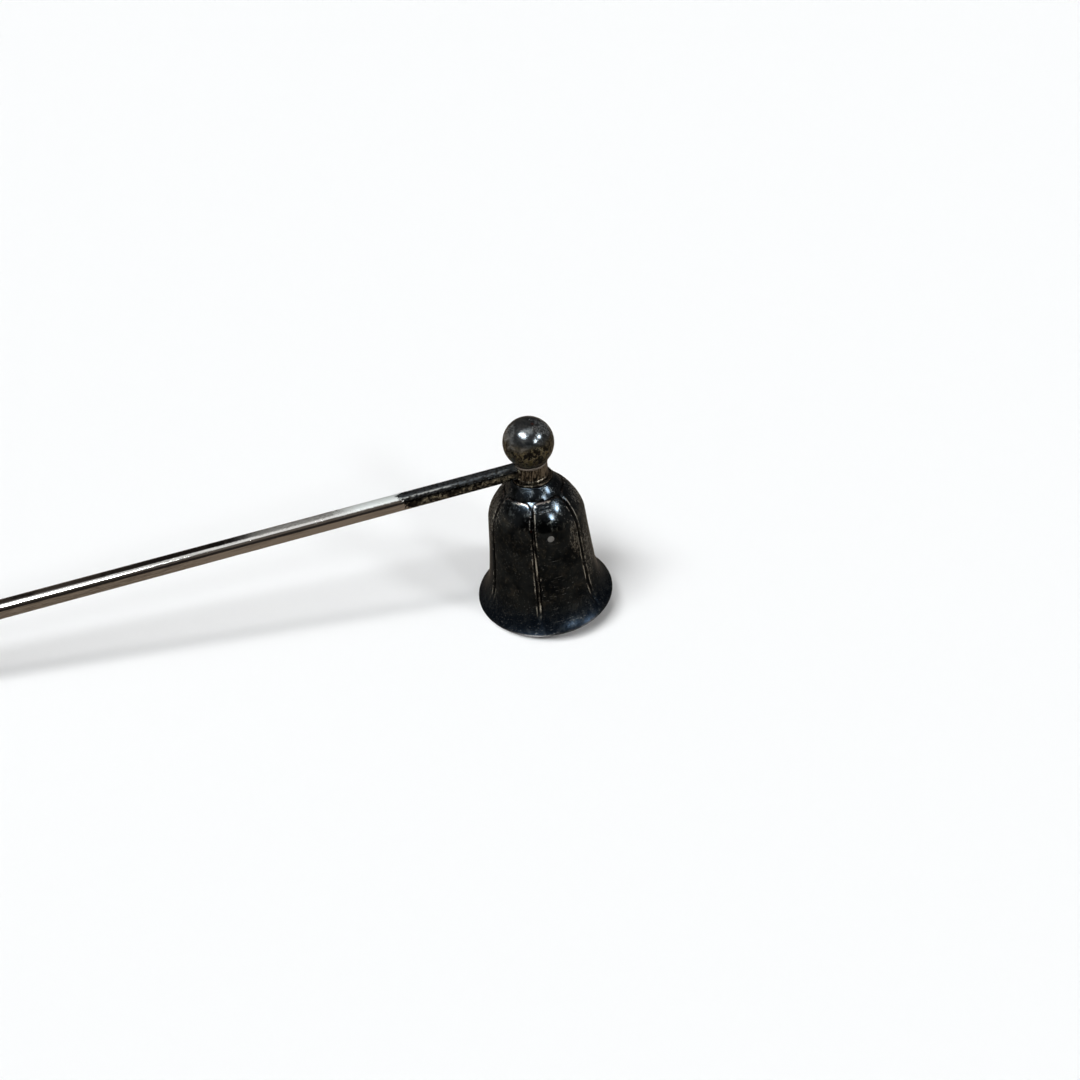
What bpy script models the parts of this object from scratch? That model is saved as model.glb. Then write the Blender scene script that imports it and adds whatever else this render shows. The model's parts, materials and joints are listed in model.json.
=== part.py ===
"""Candle snuffer with a swivelling bell.

A six-panelled bell turns on a shouldered screw under a collar. A ball finial with a threaded bush
screws onto the top of that screw. A straight round handle is let into the side of the collar at a
right angle to the bell's axis, and ends in a small knob.

The bell's own frame has its origin at the centre of the rim, +Z up the bell's axis and the handle
along -X. The root empty leans that frame, so that the snuffer lies as it does on a table: on the
handle side of its rim and on the knob.
"""

import math

import bmesh
import bpy

MM = 0.001
GAP = 0.2 * MM  # between two pieces that touch on the real object

# Bell: a tapering wall that flares at the lip and closes over a round shoulder
RIM_RADIUS = 20.0 * MM
WALL_FOOT_RADIUS = 16.3 * MM  # where the wall's straight line would meet the rim
WALL_TAPER = 0.1  # radius lost per unit of height
LIP_HEIGHT = 3.5 * MM  # height in which the flare dies away by a factor of e
SHOULDER_Z = 29.0 * MM
SHOULDER_RISE = 12.3 * MM
SHOULDER_POWER = 1.75
BELL_THICKNESS = 1.3 * MM

# Panels of the bell, with a channel between each two
PANELS = 6
PANEL_STEP = 2.0 * math.pi / PANELS
FIRST_CHANNEL = math.radians(-53.0)
CHANNEL_DEPTH = 0.5 * MM
CHANNEL_FLOOR = 0.9 * MM
CHANNEL_SIDE = 0.9 * MM
CHANNEL_START_Z = 2.0 * MM
CHANNEL_FADE = 4.0 * MM
PANEL_TOP_Z = 38.0 * MM

# Crown: the small cone above the panels, with the swivel's hole
CROWN_TOP_Z = 40.9 * MM
CROWN_EDGE = 0.2 * MM
CROWN_RADIUS = 5.6 * MM
CROWN_FLOOR_Z = 40.0 * MM
CROWN_FLOOR_RADIUS = 5.0 * MM
INNER_SHOULDER_Z = 37.3 * MM

# Swivel under the crown
SHOULDER_SCREW_RADIUS = 2.1 * MM
SWIVEL_HOLE_RADIUS = SHOULDER_SCREW_RADIUS + 0.3 * MM
INNER_WASHER_RADIUS = 4.2 * MM
INNER_WASHER_THICKNESS = 0.5 * MM
SPRING_WASHER_RADIUS = 3.9 * MM
SPRING_WASHER_THICKNESS = 0.25 * MM
SPRING_WASHER_CONE = 0.25 * MM
SCREW_HEAD_RADIUS = 3.5 * MM
SCREW_HEAD_HEIGHT = 1.9 * MM
SCREW_SLOT_WIDTH = 0.9 * MM
SCREW_SLOT_DEPTH = 0.9 * MM
THREAD_RADIUS = 1.6 * MM
THREAD_TOP_Z = 50.4 * MM

# Seat washer, collar and finial above the crown
SEAT_WASHER_RADIUS = 5.4 * MM
SEAT_WASHER_THICKNESS = 0.35 * MM
COLLAR_RADIUS = 4.5 * MM
COLLAR_BORE_RADIUS = THREAD_RADIUS + 0.25 * MM
COLLAR_TOP_Z = 46.3 * MM
FINIAL_RADIUS = 6.73 * MM
FINIAL_Z = 51.8 * MM
CUP_RADIUS = FINIAL_RADIUS + 0.15 * MM
BUSH_RADIUS = 3.0 * MM
BUSH_BOTTOM_Z = 45.9 * MM
BUSH_TOP_Z = 51.2 * MM
BUSH_BORE_TOP_Z = THREAD_TOP_Z + GAP

# Handle, along -X; distances are from the bell's axis
HANDLE_Z = 43.95 * MM
ROD_RADIUS = 2.3 * MM
ROD_END = 218.0 * MM
TENON_RADIUS = 1.0 * MM
TENON_END = 2.8 * MM
SOCKET_RADIUS = TENON_RADIUS + GAP
SOCKET_END = TENON_END - GAP
END_RING_RADIUS = 3.2 * MM
END_RING_WIDTH = 1.6 * MM
KNOB_RADIUS = 4.5 * MM
KNOB_DISTANCE = 224.0 * MM
STUD_RADIUS = 1.2 * MM
STUD_HOLE_RADIUS = STUD_RADIUS + GAP
STUD_IN_ROD = 6.0 * MM
STUD_IN_KNOB = 4.0 * MM

# Facets
BELL_COLUMNS = (0.0, 2.0, 3.7, 5.4, 12.0, 21.0)  # degrees from a channel to the middle of a panel
BELL_ROWS = 18
BELL_INNER_ROWS = 10
ROUND_STEPS = 48
SMALL_ROUND_STEPS = 32
SMOOTH_ANGLE = math.radians(35.0)

# Colour, roughness and metallic value of each finish
FINISHES = {
    "tarnished_bell": ((0.016, 0.022, 0.032), 0.34, 1.0),
    "tarnished_silver": ((0.100, 0.115, 0.130), 0.32, 1.0),
    "bright_silver": ((0.620, 0.600, 0.560), 0.22, 1.0),
    "worn_brass": ((0.400, 0.300, 0.160), 0.40, 1.0),
    "plain_steel": ((0.450, 0.450, 0.440), 0.35, 1.0),
}


def clear_scene():
    for old in list(bpy.data.objects):
        bpy.data.objects.remove(old, do_unlink=True)


def finish(name):
    """The named finish's material, made once."""
    material = bpy.data.materials.get(name)
    if material is None:
        colour, roughness, metallic = FINISHES[name]
        material = bpy.data.materials.new(name)
        material.use_nodes = True
        shader = material.node_tree.nodes["Principled BSDF"]
        shader.inputs["Base Color"].default_value = (*colour, 1.0)
        shader.inputs["Roughness"].default_value = roughness
        shader.inputs["Metallic"].default_value = metallic
    return material


def empty(name, parent=None):
    holder = bpy.data.objects.new(name, None)
    bpy.context.collection.objects.link(holder)
    holder.parent = parent
    return holder


def solid(name, shape, parent, finish_name):
    """An object with the bmesh's shape, its faces pointing out."""
    bmesh.ops.remove_doubles(shape, verts=shape.verts, dist=1e-7)
    bmesh.ops.recalc_face_normals(shape, faces=shape.faces)
    mesh = bpy.data.meshes.new(name)
    shape.to_mesh(mesh)
    shape.free()
    mesh.shade_smooth()
    mesh.set_sharp_from_angle(angle=SMOOTH_ANGLE)
    mesh.materials.append(finish(finish_name))
    made = bpy.data.objects.new(name, mesh)
    bpy.context.collection.objects.link(made)
    made.parent = parent
    return made


def turned(outline, steps=ROUND_STEPS, closed=False):
    """A bmesh of the (radius, height) outline spun about Z. An open outline starts and ends on Z."""
    shape = bmesh.new()
    points = [shape.verts.new((radius, 0.0, height)) for radius, height in outline]
    edges = [shape.edges.new(pair) for pair in zip(points, points[1:])]
    if closed:
        edges.append(shape.edges.new((points[-1], points[0])))
    bmesh.ops.spin(
        shape,
        geom=points + edges,
        cent=(0.0, 0.0, 0.0),
        axis=(0.0, 0.0, 1.0),
        angle=2.0 * math.pi,
        steps=steps,
        use_merge=True,
    )
    bmesh.ops.remove_doubles(shape, verts=shape.verts, dist=1e-7)
    bmesh.ops.dissolve_degenerate(shape, edges=shape.edges, dist=1e-8)
    return shape


def arc(middle_z, radius, start, end, steps):
    """Points on a circle round (0, middle_z), by their angle from the downward direction."""
    angles = [start + (end - start) * i / steps for i in range(steps + 1)]
    return [(radius * math.sin(a), middle_z - radius * math.cos(a)) for a in angles]


def ring_outline(inner, outer, bottom, top):
    return [(inner, bottom), (outer, bottom), (outer, top), (inner, top)]


def cutter(name, shape, parent):
    """A hidden shape for a Boolean."""
    tool = solid(name, shape, parent, "plain_steel")
    tool.hide_render = True
    tool.display_type = "WIRE"
    return tool


def boolean(target, tool, operation):
    step = target.modifiers.new(f"{operation.lower()}_{tool.name}", "BOOLEAN")
    step.operation = operation
    step.solver = "EXACT"
    step.object = tool


def ease(x):
    x = min(max(x, 0.0), 1.0)
    return x * x * (3.0 - 2.0 * x)


# ---- Bell ----------------------------------------------------------------------------------------


def wall_radius(z):
    flare = (RIM_RADIUS - WALL_FOOT_RADIUS) * math.exp(-z / LIP_HEIGHT)
    return WALL_FOOT_RADIUS - WALL_TAPER * z + flare


def bell_radius(z, inset=0.0):
    """Radius of the bell at the middle of a panel, or of the surface that lies inset below it."""
    radius = wall_radius(z) - inset
    if z > SHOULDER_Z:
        share = (z - SHOULDER_Z) / (SHOULDER_RISE - inset)
        radius *= math.sqrt(1.0 - share**SHOULDER_POWER)
    return radius


def panelled_radius(angle, z):
    """Radius of the bell's outside, with the channels between its panels."""
    radius = bell_radius(z)
    turn = (angle - FIRST_CHANNEL) % PANEL_STEP
    from_channel = min(turn, PANEL_STEP - turn) * radius
    panel = ease((from_channel - 0.5 * CHANNEL_FLOOR) / CHANNEL_SIDE)
    depth = CHANNEL_DEPTH * ease((z - CHANNEL_START_Z) / CHANNEL_FADE)
    return radius - depth * (1.0 - panel)


def bell_angles():
    """Angles of the bell's columns of facets, closer together at the channels."""
    half = [math.radians(degrees) for degrees in BELL_COLUMNS]
    one_panel = half + [PANEL_STEP / 2.0] + [PANEL_STEP - a for a in reversed(half[1:])]
    return [FIRST_CHANNEL + PANEL_STEP * i + a for i in range(PANELS) for a in one_panel]


def shoulder_heights(top, rows):
    """Heights from the rim to top: close together at the lip and over the shoulder."""
    lip_rows = rows // 3
    wall_rows = rows // 4
    shoulder_rows = rows - lip_rows - wall_rows
    lip_top = 3.0 * LIP_HEIGHT
    lip = [lip_top * (i / lip_rows) ** 1.5 for i in range(lip_rows)]
    wall = [lip_top + (SHOULDER_Z - lip_top) * i / wall_rows for i in range(wall_rows)]
    curve = [SHOULDER_Z + (top - SHOULDER_Z) * math.sin(0.5 * math.pi * i / shoulder_rows)
             for i in range(shoulder_rows + 1)]
    return lip + wall + curve


def bell_rings(angles):
    """Rings of (radius, height) per column: up the outside, over the crown and down the inside."""
    rings = [[(panelled_radius(a, z), z) for a in angles]
             for z in shoulder_heights(PANEL_TOP_Z, BELL_ROWS)]
    crown_foot = (bell_radius(PANEL_TOP_Z) - CHANNEL_DEPTH, PANEL_TOP_Z + 0.1 * MM)
    crown = [
        crown_foot,
        (CROWN_RADIUS, CROWN_TOP_Z - CROWN_EDGE),
        (CROWN_RADIUS - CROWN_EDGE, CROWN_TOP_Z),
        (SWIVEL_HOLE_RADIUS, CROWN_TOP_Z),
        (SWIVEL_HOLE_RADIUS, CROWN_FLOOR_Z),
        (CROWN_FLOOR_RADIUS, CROWN_FLOOR_Z),
    ]
    inside = [(bell_radius(z, BELL_THICKNESS), z)
              for z in reversed(shoulder_heights(INNER_SHOULDER_Z, BELL_INNER_ROWS))]
    return rings + [[point] * len(angles) for point in crown + inside]


def bell_shell(parent):
    shape = bmesh.new()
    angles = bell_angles()
    rings = [
        [shape.verts.new((r * math.cos(a), r * math.sin(a), z)) for a, (r, z) in zip(angles, ring)]
        for ring in bell_rings(angles)
    ]
    for lower, upper in zip(rings, rings[1:] + rings[:1]):
        for i in range(len(angles)):
            j = (i + 1) % len(angles)
            shape.faces.new((lower[i], lower[j], upper[j], upper[i]))
    return solid("bell_shell", shape, parent, "tarnished_bell")


# ---- Swivel --------------------------------------------------------------------------------------


def inner_washer(parent):
    top = CROWN_FLOOR_Z - GAP
    outline = ring_outline(SWIVEL_HOLE_RADIUS, INNER_WASHER_RADIUS, top - INNER_WASHER_THICKNESS, top)
    return solid("inner_washer", turned(outline, SMALL_ROUND_STEPS, closed=True), parent, "worn_brass")


def spring_washer(parent):
    """A thin cone that keeps the swivel stiff; its outer edge presses on the inner washer."""
    top = CROWN_FLOOR_Z - 2.0 * GAP - INNER_WASHER_THICKNESS
    low = top - SPRING_WASHER_CONE
    outline = [
        (SWIVEL_HOLE_RADIUS, low - SPRING_WASHER_THICKNESS),
        (SPRING_WASHER_RADIUS, top - SPRING_WASHER_THICKNESS),
        (SPRING_WASHER_RADIUS, top),
        (SWIVEL_HOLE_RADIUS, low),
    ]
    return solid("spring_washer", turned(outline, SMALL_ROUND_STEPS, closed=True), parent, "plain_steel")


def shoulder_screw(parent):
    """Slotted screw from inside the bell: its shoulder is the swivel, its thread takes the finial."""
    head_top = (CROWN_FLOOR_Z - 3.0 * GAP - INNER_WASHER_THICKNESS
                - SPRING_WASHER_CONE - SPRING_WASHER_THICKNESS)
    head_bottom = head_top - SCREW_HEAD_HEIGHT
    shoulder_top = CROWN_TOP_Z + 2.0 * GAP + SEAT_WASHER_THICKNESS - GAP
    outline = [
        (0.0, head_bottom),
        (0.72 * SCREW_HEAD_RADIUS, head_bottom),
        (0.94 * SCREW_HEAD_RADIUS, head_bottom + 0.35 * SCREW_HEAD_HEIGHT),
        (SCREW_HEAD_RADIUS, head_bottom + 0.75 * SCREW_HEAD_HEIGHT),
        (SCREW_HEAD_RADIUS, head_top),
        (SHOULDER_SCREW_RADIUS, head_top),
        (SHOULDER_SCREW_RADIUS, shoulder_top),
        (THREAD_RADIUS, shoulder_top),
        (THREAD_RADIUS, THREAD_TOP_Z - 0.4 * MM),
        (THREAD_RADIUS - 0.4 * MM, THREAD_TOP_Z),
        (0.0, THREAD_TOP_Z),
    ]
    screw = solid("shoulder_screw", turned(outline, SMALL_ROUND_STEPS), parent, "worn_brass")
    slot = bmesh.new()
    bmesh.ops.create_cube(slot, size=1.0)
    size = (3.0 * SCREW_HEAD_RADIUS, SCREW_SLOT_WIDTH, 2.0 * SCREW_SLOT_DEPTH)
    bmesh.ops.scale(slot, vec=size, verts=slot.verts)
    bmesh.ops.translate(slot, vec=(0.0, 0.0, head_bottom), verts=slot.verts)
    boolean(screw, cutter("screw_slot_cutter", slot, parent), "DIFFERENCE")
    return screw


def seat_washer(parent):
    bottom = CROWN_TOP_Z + GAP
    outline = ring_outline(SWIVEL_HOLE_RADIUS, SEAT_WASHER_RADIUS, bottom, bottom + SEAT_WASHER_THICKNESS)
    return solid("seat_washer", turned(outline, closed=True), parent, "tarnished_silver")


# ---- Collar and finial ---------------------------------------------------------------------------


def cup_angle(radius):
    return math.asin(radius / CUP_RADIUS)


def collar(parent):
    """Short turned collar: a cup for the finial on top, a socket for the handle in its side."""
    bottom = CROWN_TOP_Z + 2.0 * GAP + SEAT_WASHER_THICKNESS
    cup_lip = math.acos((FINIAL_Z - COLLAR_TOP_Z) / CUP_RADIUS)
    cup = arc(FINIAL_Z, CUP_RADIUS, cup_lip, cup_angle(COLLAR_BORE_RADIUS), 4)
    outline = [(COLLAR_BORE_RADIUS, bottom), (COLLAR_RADIUS, bottom), (COLLAR_RADIUS, COLLAR_TOP_Z)]
    made = solid("collar", turned(outline + cup, closed=True), parent, "tarnished_silver")
    return made


def finial_ball(parent):
    """Ball with a pocket in its foot for the threaded bush."""
    pocket = BUSH_RADIUS + GAP
    mouth = math.asin(pocket / FINIAL_RADIUS)
    outline = [(0.0, BUSH_TOP_Z + GAP), (pocket, BUSH_TOP_Z + GAP)]
    outline += arc(FINIAL_Z, FINIAL_RADIUS, mouth, math.pi, 18)
    outline[-1] = (0.0, outline[-1][1])
    return solid("finial_ball", turned(outline), parent, "tarnished_silver")


def finial_bush(parent):
    """Threaded bush inside the ball, with a blind bore for the screw."""
    bore = THREAD_RADIUS + 0.25 * MM
    outline = [
        (0.0, BUSH_BORE_TOP_Z),
        (bore, BUSH_BORE_TOP_Z),
        (bore, BUSH_BOTTOM_Z),
        (BUSH_RADIUS, BUSH_BOTTOM_Z),
        (BUSH_RADIUS, BUSH_TOP_Z),
        (0.0, BUSH_TOP_Z),
    ]
    return solid("finial_bush", turned(outline, SMALL_ROUND_STEPS), parent, "worn_brass")


# ---- Handle --------------------------------------------------------------------------------------


def cylinder_outline(radius, start, end):
    return [(0.0, start), (radius, start), (radius, end), (0.0, end)]


def handle_rod(bell, handle):
    """Round rod, coped to the collar, with a tenon at that end and a stud hole at the other."""
    hole_end = ROD_END - STUD_IN_ROD - GAP
    outline = [
        (0.0, TENON_END),
        (ROD_RADIUS, TENON_END),
        (ROD_RADIUS, ROD_END),
        (STUD_HOLE_RADIUS, ROD_END),
        (STUD_HOLE_RADIUS, hole_end),
        (0.0, hole_end),
    ]
    rod = solid("handle_rod", turned(outline, SMALL_ROUND_STEPS), handle, "bright_silver")
    cope = turned(cylinder_outline(COLLAR_RADIUS + GAP, 0.8 * HANDLE_Z, 1.2 * HANDLE_Z))
    boolean(rod, cutter("cope_cutter", cope, bell), "DIFFERENCE")
    tenon = turned(cylinder_outline(TENON_RADIUS, TENON_END, 3.0 * TENON_END), SMALL_ROUND_STEPS)
    boolean(rod, cutter("tenon_core", tenon, handle), "UNION")
    return rod


def cut_socket(collar_piece, handle):
    """The blind hole in the collar's side that takes the handle's tenon."""
    outline = cylinder_outline(SOCKET_RADIUS, SOCKET_END, 2.0 * COLLAR_RADIUS)
    socket = turned(outline, SMALL_ROUND_STEPS)
    boolean(collar_piece, cutter("socket_cutter", socket, handle), "DIFFERENCE")


def end_ring(handle):
    outline = ring_outline(
        STUD_HOLE_RADIUS, END_RING_RADIUS, ROD_END + GAP, ROD_END + GAP + END_RING_WIDTH
    )
    return solid("end_ring", turned(outline, SMALL_ROUND_STEPS, closed=True), handle, "bright_silver")


def end_knob(handle):
    """Ball knob with a flat foot against the ring and a blind hole for the stud."""
    foot = ROD_END + 2.0 * GAP + END_RING_WIDTH
    hole_end = foot + STUD_IN_KNOB + GAP
    foot_angle = math.acos((KNOB_DISTANCE - foot) / KNOB_RADIUS)
    outline = [(0.0, hole_end), (STUD_HOLE_RADIUS, hole_end), (STUD_HOLE_RADIUS, foot)]
    outline += arc(KNOB_DISTANCE, KNOB_RADIUS, foot_angle, math.pi, 14)
    outline[-1] = (0.0, outline[-1][1])
    return solid("end_knob", turned(outline, SMALL_ROUND_STEPS), handle, "bright_silver")


def knob_stud(handle):
    start = ROD_END - STUD_IN_ROD
    end = ROD_END + 2.0 * GAP + END_RING_WIDTH + STUD_IN_KNOB
    outline = cylinder_outline(STUD_RADIUS, start, end)
    return solid("knob_stud", turned(outline, SMALL_ROUND_STEPS), handle, "plain_steel")


# ---- The whole snuffer ---------------------------------------------------------------------------


def table_lean():
    """Angle between the bell's axis and the table's normal."""
    reach = KNOB_DISTANCE - RIM_RADIUS
    return math.atan2(HANDLE_Z, reach) - math.asin(KNOB_RADIUS / math.hypot(reach, HANDLE_Z))


def lay_on_table(root):
    """Lean the bell's frame, with the origin under the middle of the snuffer's length."""
    lean = table_lean()
    knob_x = -KNOB_DISTANCE * math.cos(lean) - HANDLE_Z * math.sin(lean)
    left = knob_x - KNOB_RADIUS
    right = RIM_RADIUS * math.cos(lean)
    root.rotation_euler = (0.0, -lean, 0.0)
    root.location = (-0.5 * (left + right), 0.0, RIM_RADIUS * math.sin(lean))


def build():
    clear_scene()
    root = empty("snuffer")
    bell_axis = empty("bell_axis", root)
    finial_axis = empty("finial_axis", root)
    handle_axis = empty("handle_axis", root)
    handle_axis.location = (0.0, 0.0, HANDLE_Z)
    handle_axis.rotation_euler = (0.0, -0.5 * math.pi, 0.0)

    bell_shell(bell_axis)
    inner_washer(bell_axis)
    seat_washer(root)
    spring_washer(root)
    shoulder_screw(root)
    cut_socket(collar(root), handle_axis)
    finial_ball(finial_axis)
    finial_bush(finial_axis)
    handle_rod(root, handle_axis)
    end_ring(handle_axis)
    end_knob(handle_axis)
    knob_stud(handle_axis)
    lay_on_table(root)


build()
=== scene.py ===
import json
import math

import bmesh
import bpy
from mathutils import Matrix, Vector, noise


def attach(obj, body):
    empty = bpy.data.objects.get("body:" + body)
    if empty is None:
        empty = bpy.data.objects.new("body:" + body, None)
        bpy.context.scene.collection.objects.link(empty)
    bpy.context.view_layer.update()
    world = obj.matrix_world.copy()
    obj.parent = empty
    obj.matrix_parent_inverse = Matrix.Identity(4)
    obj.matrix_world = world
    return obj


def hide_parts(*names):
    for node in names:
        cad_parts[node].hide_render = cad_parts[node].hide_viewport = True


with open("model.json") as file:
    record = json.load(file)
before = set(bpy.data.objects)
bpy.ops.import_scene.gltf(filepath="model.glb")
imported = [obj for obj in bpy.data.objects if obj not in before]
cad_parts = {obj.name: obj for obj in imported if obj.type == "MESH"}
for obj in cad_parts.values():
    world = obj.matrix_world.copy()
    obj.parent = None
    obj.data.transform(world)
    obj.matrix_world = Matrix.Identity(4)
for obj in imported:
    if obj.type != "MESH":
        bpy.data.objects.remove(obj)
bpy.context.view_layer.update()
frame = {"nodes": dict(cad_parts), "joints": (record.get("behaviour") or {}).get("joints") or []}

# The looks of a candle snuffer. Pieces are made in two local frames, in metres:
# - the bell frame: origin at the centre of the rim, +Z up the bell's axis, handle along -X
# - the handle frame: origin where the handle's axis meets the bell's axis, +Z along the handle
MM = 0.001

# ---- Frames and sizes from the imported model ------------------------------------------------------


def swivel_frame():
    """The bell frame, from the swivel joint's place and axis."""
    joint = next(j for j in frame["joints"] if j["name"] == "bell_swivel")
    up = Vector(joint["axis"]).normalized()
    right = Vector((0.0, 1.0, 0.0)).cross(up).normalized()
    turn = Matrix((right, up.cross(right), up)).transposed().to_4x4()
    return Matrix.Translation(Vector(joint["pos_m"])) @ turn


BELL = swivel_frame()


def extent(node, place):
    """Largest radius about the local Z, lowest z and highest z of a CAD node in a local frame."""
    inverse = place.inverted()
    points = [inverse @ v.co for v in frame["nodes"][node].data.vertices]
    heights = [p.z for p in points]
    return max(math.hypot(p.x, p.y) for p in points), min(heights), max(heights)


RIM_RADIUS, _, CROWN_TOP_Z = extent("bell_shell", BELL)
COLLAR_RADIUS, COLLAR_BOTTOM_Z, COLLAR_TOP_Z = extent("collar", BELL)
SEAT_TOP_Z = extent("seat_washer", BELL)[2]
BALL_RADIUS, _, BALL_TOP_Z = extent("finial_ball", BELL)
BALL_Z = BALL_TOP_Z - BALL_RADIUS
HANDLE_Z = 43.95 * MM
HANDLE = BELL @ Matrix.Translation((0.0, 0.0, HANDLE_Z)) @ Matrix.Rotation(-math.pi / 2, 4, "Y")
ROD_RADIUS, _, ROD_END = extent("handle_rod", HANDLE)
SWIVEL_HOLE = 2.4 * MM
FINIAL_BORE = 1.85 * MM
STUD_HOLE = 1.4 * MM

# The bell's profile, as in the CAD: a tapering wall, a flared lip and a round shoulder
WALL_FOOT_RADIUS = 16.3 * MM
WALL_TAPER = 0.1
LIP_HEIGHT = 3.5 * MM
SHOULDER_Z = 29.0 * MM
SHOULDER_RISE = 12.3 * MM
SHOULDER_POWER = 1.75
BELL_THICKNESS = 1.3 * MM
PANEL_TOP_Z = 38.0 * MM
INNER_SHOULDER_Z = 37.3 * MM
PANELS = 6
PANEL_STEP = 2.0 * math.pi / PANELS
FIRST_CHANNEL = math.radians(-51.8)

# Relief of the panels
CHANNEL_DEPTH = 0.55 * MM
CHANNEL_HALF_WIDTH = 0.48 * MM
CHANNEL_TOP_HALF_WIDTH = 0.26 * MM
CHANNEL_NARROWING = (10.0 * MM, 30.0 * MM)
PANEL_EDGE = 0.62 * MM
PANEL_CORNER = 1.7 * MM
PANEL_TOP_SLOPE = 1.25
PANEL_PILLOW = 0.22 * MM
TOP_FADE = 0.5
CHANNEL_START_Z = 0.7 * MM
CHANNEL_FADE = 4.5 * MM
RIM_EDGE = 0.16 * MM
PILLOW_WIDTH = 6.0 * MM
BELL_COLUMNS = 384
BELL_ROWS = 150
BELL_INNER_ROWS = 48


def ease(x):
    """A smooth step from 0 to 1."""
    x = min(max(x, 0.0), 1.0)
    return x * x * (3.0 - 2.0 * x)


# ---- Mesh helpers --------------------------------------------------------------------------------


def piece(name, shape, place, body, material, slot, *nodes, smooth_angle=40.0):
    """A visible piece from a bmesh in a local frame. It rides on body and stands for CAD nodes."""
    bmesh.ops.remove_doubles(shape, verts=shape.verts, dist=1e-8)
    bmesh.ops.recalc_face_normals(shape, faces=shape.faces)
    mesh = bpy.data.meshes.new(name)
    shape.to_mesh(mesh)
    shape.free()
    mesh.shade_smooth()
    mesh.set_sharp_from_angle(angle=math.radians(smooth_angle))
    mesh.materials.append(material)
    made = bpy.data.objects.new(name, mesh)
    bpy.context.scene.collection.objects.link(made)
    made.matrix_world = place
    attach(made, body)
    if nodes:
        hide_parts(*nodes)
    return made


def rings_to_mesh(rings, closed=False):
    """A bmesh from rings of points. A ring of one point closes the surface there."""
    shape = bmesh.new()
    loops = [[shape.verts.new(p) for p in ring] for ring in rings]
    pairs = list(zip(loops, loops[1:]))
    if closed:
        pairs.append((loops[-1], loops[0]))
    for low, high in pairs:
        count = max(len(low), len(high))
        for i in range(count):
            j = (i + 1) % count
            corners = [low[i % len(low)], low[j % len(low)]]
            corners += [high[j % len(high)], high[i % len(high)]]
            corners = list(dict.fromkeys(corners))
            if len(corners) > 2:
                shape.faces.new(corners)
    return shape


def turned(outline, steps=96, closed=False, wobble=0.0, seed=0.0):
    """Rings of the (radius, height) outline about Z, with a slight unevenness of the surface."""
    rings = []
    for radius, height in outline:
        if radius < 1e-7:
            rings.append([Vector((0.0, 0.0, height))])
            continue
        ring = []
        for i in range(steps):
            a = 2.0 * math.pi * i / steps
            p = Vector((radius * math.cos(a), radius * math.sin(a), height))
            uneven = wobble * noise.noise(p * 350.0 + Vector((seed, 0.0, 0.0)))
            ring.append(p + Vector((math.cos(a), math.sin(a), 0.0)) * uneven)
        rings.append(ring)
    return rings_to_mesh(rings, closed)


def filleted(outline, radius, steps=5, closed=False):
    """The outline with its corners rounded."""
    count = len(outline)
    points = [Vector(p) for p in outline]
    rounded = []
    for i, corner in enumerate(points):
        if not closed and i in (0, count - 1):
            rounded.append(tuple(corner))
            continue
        before = points[i - 1] - corner
        after = points[(i + 1) % count] - corner
        angle = before.angle(after)
        reach = min(radius / math.tan(angle / 2), 0.45 * before.length, 0.45 * after.length)
        if angle > math.radians(170.0):
            rounded.append(tuple(corner))
            continue
        start = corner + before.normalized() * reach
        end = corner + after.normalized() * reach
        for k in range(steps + 1):
            t = k / steps
            rounded.append(tuple(start * (1 - t) ** 2 + corner * 2 * t * (1 - t) + end * t * t))
    return rounded


def ball_points(middle_z, radius, start, end, steps):
    """Outline of a ball between two angles from the downward direction."""
    angles = [start + (end - start) * i / steps for i in range(steps + 1)]
    return [(max(radius * math.sin(a), 0.0), middle_z - radius * math.cos(a)) for a in angles]


# ---- Bell ----------------------------------------------------------------------------------------


def bell_radius(z, inset=0.0):
    """Radius of the plain bell at a height, or of its inside at an inset."""
    radius = WALL_FOOT_RADIUS - inset - WALL_TAPER * z
    radius += (RIM_RADIUS - WALL_FOOT_RADIUS) * math.exp(-z / LIP_HEIGHT)
    if z > SHOULDER_Z:
        share = (z - SHOULDER_Z) / (SHOULDER_RISE - inset)
        radius *= math.sqrt(1.0 - share**SHOULDER_POWER)
    return radius


def panel_relief(angle, z):
    """Height of a panel over the channels: a steep rounded edge, then a slight pillow."""
    radius = bell_radius(z)
    turn = (angle - FIRST_CHANNEL) % PANEL_STEP
    low, high = CHANNEL_NARROWING
    narrow = (CHANNEL_HALF_WIDTH - CHANNEL_TOP_HALF_WIDTH) * ease((z - low) / (high - low))
    side = min(turn, PANEL_STEP - turn) * radius - CHANNEL_HALF_WIDTH + narrow
    top = PANEL_TOP_SLOPE * (PANEL_TOP_Z - z)
    inside = min(side, top)
    if side < PANEL_CORNER and top < PANEL_CORNER:
        inside = PANEL_CORNER - math.hypot(PANEL_CORNER - side, PANEL_CORNER - top)
    if inside <= 0.0:
        return 0.0
    share = min(inside / PANEL_EDGE, 1.0)
    edge = math.sqrt(1.0 - (1.0 - share) ** 2)
    return CHANNEL_DEPTH * edge + PANEL_PILLOW * ease(inside / PILLOW_WIDTH)


def bell_surface(angle, z):
    """A point on the outside of the bell, up to the top of the panels."""
    fade = ease((z - CHANNEL_START_Z) / CHANNEL_FADE)
    fade *= 1.0 - TOP_FADE * ease((z - 32.0 * MM) / (6.0 * MM))
    full = CHANNEL_DEPTH + PANEL_PILLOW
    radius = bell_radius(z) - fade * (full - panel_relief(angle, z))
    p = Vector((radius * math.cos(angle), radius * math.sin(angle), z))
    dent = 0.09 * MM * noise.noise(p * 90.0) + 0.025 * MM * noise.noise(p * 260.0)
    dent *= ease(z / (5.0 * MM))
    return p + Vector((math.cos(angle), math.sin(angle), 0.0)) * dent


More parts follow.
